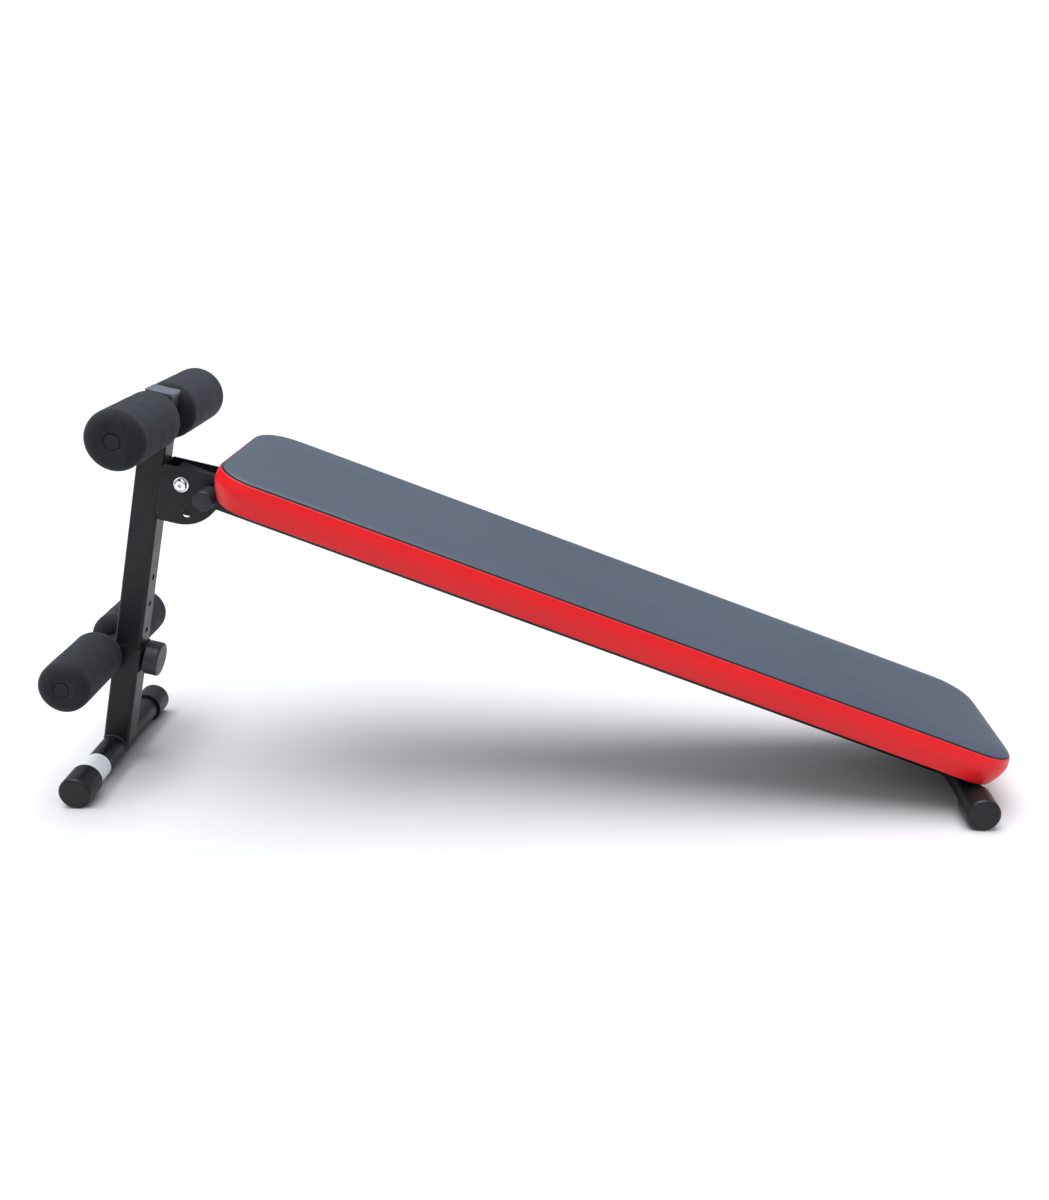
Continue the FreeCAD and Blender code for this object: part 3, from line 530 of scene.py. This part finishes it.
def inflate(points, faces, held):
    """Where cloth under pressure moves the points while those in held stay put."""
    mesh = bpy.data.meshes.new("puff")
    mesh.from_pydata([tuple(p) for p in points], [], faces)
    puff = bpy.data.objects.new("puff", mesh)
    scene.collection.objects.link(puff)
    group = puff.vertex_groups.new(name="held")
    group.add(held, 1.0, "REPLACE")
    cloth = puff.modifiers.new("Cloth", "CLOTH")
    settings = cloth.settings
    settings.quality = 6
    settings.mass = 0.25
    settings.tension_stiffness = 25
    settings.compression_stiffness = 25
    settings.shear_stiffness = 10
    settings.bending_stiffness = 2.0
    settings.vertex_group_mass = "held"
    settings.use_pressure = True
    settings.uniform_pressure_force = 4.0
    settings.effector_weights.gravity = 0.0
    cloth.collision_settings.use_collision = False
    cloth.point_cache.frame_start = 1
    cloth.point_cache.frame_end = PUFF_FRAMES
    for step in range(1, PUFF_FRAMES + 1):
        scene.frame_set(step)
    shape = puff.evaluated_get(bpy.context.evaluated_depsgraph_get())
    moved = np.array([v.co for v in shape.data.vertices])
    scene.frame_set(1)
    bpy.data.objects.remove(puff)
    bpy.data.meshes.remove(mesh)
    return moved


def swollen_cover():
    """The cover's top panel and the rings of its side band, swollen by the foam inside."""
    top = flat_patch(SEAM_INSET, PAD_TOP - SEAM_DROP)
    band = [flat_ring(inset, PAD_TOP - drop) for inset, drop in SIDE_PROFILE[1:]]
    underside = flat_patch(PUFF_FLOOR_INSET, PAD_FOOT + PUFF_FLOOR_RISE)
    points = np.vstack([top] + band + [underside])
    band_start = len(top)
    floor_start = band_start + len(band) * RING

    faces = list(PATCH_FACES)
    upper = BORDER
    for row in range(len(band)):
        lower = ring_indices(band_start, row)
        faces += ring_faces(upper, lower)
        upper = lower
    faces += ring_faces(upper, [floor_start + i for i in BORDER])
    faces += flipped(PATCH_FACES, floor_start)

    held = BORDER + upper + list(range(floor_start, len(points)))
    shift = inflate(points, faces, held) - points
    # the swell is limited softly, and keeps its direction
    size = np.linalg.norm(shift, axis=1, keepdims=True)
    limit = np.full((len(points), 1), PUFF_TOP)
    limit[band_start:floor_start] = PUFF_SIDE
    points = points + shift / np.maximum(size, 1e-9) * limit * np.tanh(size / limit)
    return points[:band_start], points[band_start:floor_start].reshape(-1, RING, 3)


def seam_distance(seam):
    """How far each point of the top panel lies from the seam."""
    inner = patch(SEAM_INSET)
    distance = np.empty(len(inner))
    chunk = 400
    for start in range(0, len(inner), chunk):
        gap = np.linalg.norm(inner[start:start + chunk, None] - seam[None, :, :2], axis=2)
        distance[start:start + chunk] = gap.min(1)
    return distance


def pad_cover():
    """The cover as one closed form: black vinyl top panel with a painted sky reflection, seam, red band, black
    underside.
    """
    top, band = swollen_cover()
    seam = top[BORDER]
    outward = outline(0.0) - outline(0.004)
    outward = outward / np.linalg.norm(outward, axis=1, keepdims=True)

    # the panel rolls down to the seam over its last centimetre
    distance = seam_distance(seam)
    top[:, 2] += EDGE_ROLL * (1 - np.exp(-distance / EDGE_REACH))
    top[:, 2] += CROWN_RISE * (1 - np.exp(-distance / CROWN_REACH))

    # the panel tucks into a dark groove and the red band rises out of it as a roll
    rings = [seam + np.column_stack([outward * sideways, np.full(RING, height)])
             for sideways, height in SEAM_STEPS]
    rings += list(band)
    # the vinyl wraps the board's edge, then folds up beside the board and over its top
    low, flush = PAD_FOOT - BACK_DROP, PAD_FOOT - 0.0001  # flush just clears the board
    beside_board = PAD_HALF - board_high[1] - BOARD_GAP
    inside_top = board_high[2] + BOARD_COVER
    rings += [flat_ring(inset, low + rise) for inset, rise in WRAP_PROFILE]
    rings += [flat_ring(BACK_EDGE, flush), flat_ring(beside_board, flush),
              flat_ring(beside_board, inside_top)]
    hidden = flat_patch(beside_board + BOARD_GAP + HIDDEN_INSET, inside_top)

    faces = list(PATCH_FACES)
    tags = [PANEL] * len(faces)
    # from this row down, the band's lowest strip and the wrap under the board are black vinyl
    black_edge_row = len(SEAM_STEPS) + len(band) - 1
    upper = BORDER
    for row in range(len(rings)):
        lower = ring_indices(len(top), row)
        faces += ring_faces(upper, lower)
        if row < GROOVE_STEPS[0]:
            tags += [PANEL] * RING
        else:
            tags += [BAND if GROOVE_STEPS[1] < row < black_edge_row else BLACK_EDGE] * RING
        upper = lower
    hidden_start = len(top) + len(rings) * RING
    faces += ring_faces(upper, [hidden_start + i for i in BORDER])
    faces += flipped(PATCH_FACES, hidden_start)
    tags += [BLACK_EDGE] * (len(faces) - len(tags))

    points = [beam_frame @ Vector(p) for p in np.vstack([top] + rings + [hidden])]
    return make_object("pad_cover", points, faces, [TOP_VINYL_PAINTED_SKY, RED_VINYL, BLACK_VINYL],
                       "bench", tags)


cover = pad_cover()
soften(cover)
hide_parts("pad_cushion")


# ---- staples along the underside ----

STAPLES = 84
STAPLE_INSET = 0.0222           # from the pad's outline
STAPLE_WIRE, STAPLE_SIDES = 0.00045, 6    # radius and sides of the wire
STAPLE_LEAN = 0.25              # most that a staple is turned, in radians
# (along the staple, height over the wrapped vinyl)
STAPLE_SHAPE = ((-0.0050, 0.0007), (-0.0050, -0.0002), (-0.0042, -0.0005),
                (0.0042, -0.0005), (0.0050, -0.0002), (0.0050, 0.0007))


def staples():
    """Wire staples that hold the wrapped vinyl, each turned a little at random."""
    pieces = []
    ring = outline(STAPLE_INSET)
    ahead = np.roll(ring, -1, axis=0) - ring
    step = np.linalg.norm(ahead, axis=1)
    along = np.concatenate([[0], np.cumsum(step)])
    for n in range(STAPLES):
        s = along[-1] * (n + 0.5) / STAPLES
        i = int(np.searchsorted(along, s) - 1)
        point = ring[i] + ahead[i] * (s - along[i]) / step[i]
        x, y = ahead[i] / step[i]
        random.seed(n)
        lean = random.uniform(-STAPLE_LEAN, STAPLE_LEAN)
        c, d = math.cos(lean), math.sin(lean)
        direction = np.array([x * c - y * d, x * d + y * c])
        path = [beam_frame @ Vector((*(point + direction * k), PAD_FOOT - BACK_DROP + h))
                for k, h in STAPLE_SHAPE]
        pieces.append(tube_mesh(path, STAPLE_WIRE, STAPLE_SIDES))
    points, faces = merge(pieces)
    make_object("pad_staples", points, faces, [ZINC], "bench")


staples()


# ---- foam roller sleeves ----

FOAM_ROUND_LONG, FOAM_ROUND_OUT = 0.0150, 0.0190  # rounding of the foam's ends
FOAM_BORE = 0.0103
FOAM_SHOULDER = 12              # steps around each rounded end
FOAM_LENGTHS = 26               # steps along the straight part
FOAM_AROUND = 96
FOAM_UNEVEN = 0.00045           # mean depth of the skin's unevenness
FOAM_SKIN = 0.6                 # share of the radius beyond which the skin is uneven
FOAM_WAVES, FOAM_WAVE_RATE = 6, 60   # waves in the skin, and their radians per metre


def foam_profile(length, radius):
    """(distance in from the outer end, radius) from the bore, over the skin and back."""
    shoulder = []
    for k in range(FOAM_SHOULDER + 1):
        a = math.pi / 2 * k / FOAM_SHOULDER
        shoulder.append((FOAM_ROUND_LONG * (1 - math.cos(a)),
                         radius - FOAM_ROUND_OUT * (1 - math.sin(a))))
    straight = length - 2 * FOAM_ROUND_LONG
    profile = [(0.0120, FOAM_BORE), (0.0040, FOAM_BORE), (0.0022, FOAM_BORE + 0.0006),
               (0.0012, FOAM_BORE + 0.0024), (0.0005, FOAM_BORE + 0.0060)] + shoulder
    profile += [(FOAM_ROUND_LONG + straight * k / FOAM_LENGTHS, radius)
                for k in range(1, FOAM_LENGTHS)]
    profile += [(length - inset, r) for inset, r in reversed(shoulder)]
    return profile + [(length - 0.0005, FOAM_BORE + 0.0060), (length - 0.0008, FOAM_BORE + 0.0012),
                      (length - 0.0030, FOAM_BORE), (length - 0.0120, FOAM_BORE)]


def foam_sleeve(name, node, body, axle, seed):
    """Moulded foam tube about its axle, with soft ends and a bore for the axle."""
    low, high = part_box(node)
    radius = (high.z - low.z) / 2
    outer_first = abs(low.y) > abs(high.y)
    profile = foam_profile(high.y - low.y, radius)
    rng = random.Random(seed)
    waves = [(rng.uniform(0, 2 * math.pi), rng.uniform(1, 3), rng.randint(1, 4))
             for _ in range(FOAM_WAVES)]
    points = []
    for inset, r in profile:
        y = low.y + inset if outer_first else high.y - inset
        on_skin = r > FOAM_SKIN * radius
        for s in range(FOAM_AROUND):
            angle = 2 * math.pi * s / FOAM_AROUND
            wobble = sum(math.sin(phase + rate * FOAM_WAVE_RATE * inset + turns * angle)
                         for phase, rate, turns in waves) / FOAM_WAVES
            # the skin dips a little, and never stands proud of the moulded size
            reach = r - (FOAM_UNEVEN * (1 + wobble) if on_skin else 0)
            points.append(Vector((axle.x + reach * math.cos(angle), y,
                                  axle.z + reach * math.sin(angle))))
    faces = strip_faces(len(profile), FOAM_AROUND, True)
    faces += closing_faces(len(profile), FOAM_AROUND)
    if outer_first:
        faces = flipped(faces, 0)
    made = make_object(name, points, faces, [FOAM], body)
    soften(made)
    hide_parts(node)


for height, axle, first_seed in (("upper", upper_axle, 11), ("lower", lower_axle, 12)):
    for seed, side in ((first_seed, "left"), (first_seed + 2, "right")):
        foam_sleeve("%s_foam_sleeve_%s" % (height, side), "%s_foam_%s" % (height, side),
                    "%s_roller_%s" % (height, side), axle, seed)


# ---- weld beads ----

FOOT_BEAD, BRACKET_BEAD, AXLE_BEAD = 0.0024, 0.0020, 0.0016  # radii of the beads
BEAD_SIDES = 10
BEAD_RIPPLE, BEAD_RIPPLE_STEP = 0.16, 2.1  # share of the radius, and radians from ring to ring
BEAD_UNEVEN = 0.1               # random share of the radius
BEAD_SPACING = 0.0016           # between the rings of a straight bead
SADDLE_STEPS = 34
SADDLE_REACH = 0.97             # how much of a tube's depth a bead runs along
AXLE_STEPS = 44
AXLE_BEAD_OUT = 0.0004          # the middle of an axle bead lies this far off both surfaces
BRACKET_PLATE = 0.0005          # from the bracket's side faces to the beads' line
BRACKET_SHARE = 0.86            # of the bracket's half width
BRACKET_BEAD_OUT = 0.0003       # off the bracket's front face
BRACKET_CLEAR = (0.004, -0.003)  # from the bracket's lower and upper ends


def bead(name, path, body, radius, seed, closed=False):
    """A rippled bead that is laid in the corner between two pieces."""
    rng = random.Random(seed)
    ripple = [1 + BEAD_RIPPLE * math.sin(BEAD_RIPPLE_STEP * i)
              + rng.uniform(-BEAD_UNEVEN, BEAD_UNEVEN) for i in range(len(path))]
    points, faces = tube_mesh(path, radius, BEAD_SIDES, closed, ripple)
    make_object(name, points, faces, [WELD], body)


def straight_path(a, b):
    """Evenly spaced points from a to b."""
    count = int((b - a).length / BEAD_SPACING)
    return [a.lerp(b, i / count) for i in range(count + 1)]


def saddle_paths(centre, foot_radius, half_width, offset, along, half_depth):
    """Where a square tube meets the round tube that it stands on, along its two flat sides."""
    across = Vector((along.z, 0, -along.x))
    paths = []
    for y in (-half_width, half_width):
        path = []
        for i in range(SADDLE_STEPS + 1):
            x = offset - half_depth + 2 * half_depth * i / SADDLE_STEPS
            reach = math.sqrt(foot_radius ** 2 - x ** 2)
            path.append(centre + across * x + along * reach + Vector((0, y, 0)))
        paths.append(path)
    return paths


def circle_path(centre, radius, y):
    """A ring about an axle that runs along y."""
    return [Vector((centre.x + radius * math.cos(2 * math.pi * i / AXLE_STEPS), y,
                    centre.z + radius * math.sin(2 * math.pi * i / AXLE_STEPS)))
            for i in range(AXLE_STEPS)]


def tube_radius(node):
    """Radius of a round CAD tube that runs along y."""
    low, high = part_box(node)
    return (high.z - low.z) / 2


foot_radius = tube_radius("rear_foot_tube")
upright_low, upright_high = extent("upright_tube", upright_frame)
upright_half = upright_high[1]
upright_depth = (upright_high[0] - upright_low[0]) / 2
upright_offset = -(upright_frame.inverted() @ front_foot).x
front_reach = min(upright_depth, foot_radius - upright_offset) * SADDLE_REACH
for n, path in enumerate(saddle_paths(front_foot, foot_radius, upright_half, upright_offset,
                                      upright_z, front_reach)):
    bead("foot_weld_%d" % n, path, "upright", FOOT_BEAD, 20 + n)

beam_half = extent("main_beam", beam_frame)[1][1]
for n, path in enumerate(saddle_paths(rear_foot, foot_radius, beam_half, 0.0, -beam_x,
                                      foot_radius * SADDLE_REACH)):
    bead("rear_weld_%d" % n, path, "bench", FOOT_BEAD, 30 + n)

bracket_low, bracket_high = extent("hinge_bracket", upright_frame)
for n, side_y in enumerate((bracket_low[1] + BRACKET_PLATE, bracket_high[1] - BRACKET_PLATE)):
    ends = [upright_frame @ Vector((bracket_low[0] - BRACKET_BEAD_OUT, side_y * BRACKET_SHARE, z))
            for z in (bracket_low[2] + BRACKET_CLEAR[0], bracket_high[2] + BRACKET_CLEAR[1])]
    bead("bracket_weld_%d" % n, straight_path(*ends), "upright", BRACKET_BEAD, 40 + n)

ring_radius = tube_radius("upper_axle") + AXLE_BEAD_OUT
for n, face_y in enumerate((-upright_half - AXLE_BEAD_OUT, upright_half + AXLE_BEAD_OUT)):
    bead("upper_axle_weld_%d" % n, circle_path(upper_axle, ring_radius, face_y),
         "upright", AXLE_BEAD, 50 + n, closed=True)


# ---- floor, lights and camera ----

FLOOR_HALF = 9.0
FLOOR_DROP = 0.0005             # keeps the floor clear of the feet's flats
SKY_LOW = (0.16, 0.17, 0.19)
SKY_HIGH = (1.0, 1.05, 1.15)
SKY_TOP = 0.9                   # height of a direction where the light is full
OVERHEAD_AIM = (0.14, 0.06, -1.0)
FILL_PLACE, FILL_TARGET = Vector((-1.2, -2.6, 2.2)), Vector((0, 0, 0.3))
CAMERA_PLACE = (0.0783, -1.6665, 0.8315)
CAMERA_YAW, CAMERA_PITCH = -0.0507, 0.3442


def link_object(name, data):
    """A new object in the scene."""
    made = bpy.data.objects.new(name, data)
    scene.collection.objects.link(made)
    return made


def aim(made, direction):
    """Turns a light or camera to look along a direction."""
    made.rotation_euler = Vector(direction).to_track_quat("-Z", "Y").to_euler()


def studio_floor():
    """The plain floor that the bench stands on."""
    mesh = bpy.data.meshes.new("floor")
    build = bmesh.new()
    bmesh.ops.create_grid(build, x_segments=4, y_segments=4, size=FLOOR_HALF)
    build.to_mesh(mesh)
    build.free()
    mesh.materials.append(pale_floor())
    made = link_object("floor", mesh)
    made.location.z = -FLOOR_DROP


def studio_world():
    """The camera sees plain white; the light is strong overhead and weak near the floor."""
    world = bpy.data.worlds.new("studio")
    world.use_nodes = True
    tree = world.node_tree
    plain = tree.nodes["Background"]
    plain.inputs["Color"].default_value = (1, 1, 1, 1)
    soft = tree.nodes.new("ShaderNodeBackground")
    coordinates = tree.nodes.new("ShaderNodeTexCoord")
    split = tree.nodes.new("ShaderNodeSeparateXYZ")
    tones = tree.nodes.new("ShaderNodeValToRGB")
    low, high = tones.color_ramp.elements
    low.position, low.color = 0.0, (*SKY_LOW, 1)
    high.position, high.color = SKY_TOP, (*SKY_HIGH, 1)
    mix = tree.nodes.new("ShaderNodeMixShader")
    path = tree.nodes.new("ShaderNodeLightPath")
    tree.links.new(coordinates.outputs["Generated"], split.inputs["Vector"])
    tree.links.new(split.outputs["Z"], tones.inputs["Fac"])
    tree.links.new(tones.outputs["Color"], soft.inputs["Color"])
    tree.links.new(path.outputs["Is Camera Ray"], mix.inputs["Fac"])
    tree.links.new(soft.outputs["Background"], mix.inputs[1])
    tree.links.new(plain.outputs["Background"], mix.inputs[2])
    tree.links.new(mix.outputs["Shader"], tree.nodes["World Output"].inputs["Surface"])
    scene.world = world


def studio_lights():
    """A broad overhead light, and a weak fill from the photo's side."""
    overhead = bpy.data.lights.new("overhead", "SUN")
    overhead.energy = 3.4
    overhead.angle = 0.9
    overhead.color = (0.91, 0.95, 1.0)
    aim(link_object("overhead", overhead), OVERHEAD_AIM)

    fill = bpy.data.lights.new("front_fill", "AREA")
    fill.shape = "RECTANGLE"
    fill.size, fill.size_y = 1.6, 1.2
    fill.energy = 6
    fill.color = (1.0, 0.98, 0.97)
    made = link_object("front_fill", fill)
    made.location = FILL_PLACE
    aim(made, FILL_TARGET - FILL_PLACE)


def photo_camera():
    """The camera at the photo's viewing angle."""
    data = bpy.data.cameras.new("camera")
    data.sensor_fit = "AUTO"
    data.sensor_width = 36
    data.lens = 37.2
    data.shift_x = -0.0031
    data.shift_y = 0.0141
    camera = link_object("camera", data)
    camera.location = CAMERA_PLACE
    level = math.cos(CAMERA_PITCH)
    aim(camera, (math.sin(CAMERA_YAW) * level, math.cos(CAMERA_YAW) * level,
                 -math.sin(CAMERA_PITCH)))
    scene.camera = camera


studio_floor()
studio_world()
studio_lights()
photo_camera()
scene.view_settings.view_transform = "Standard"
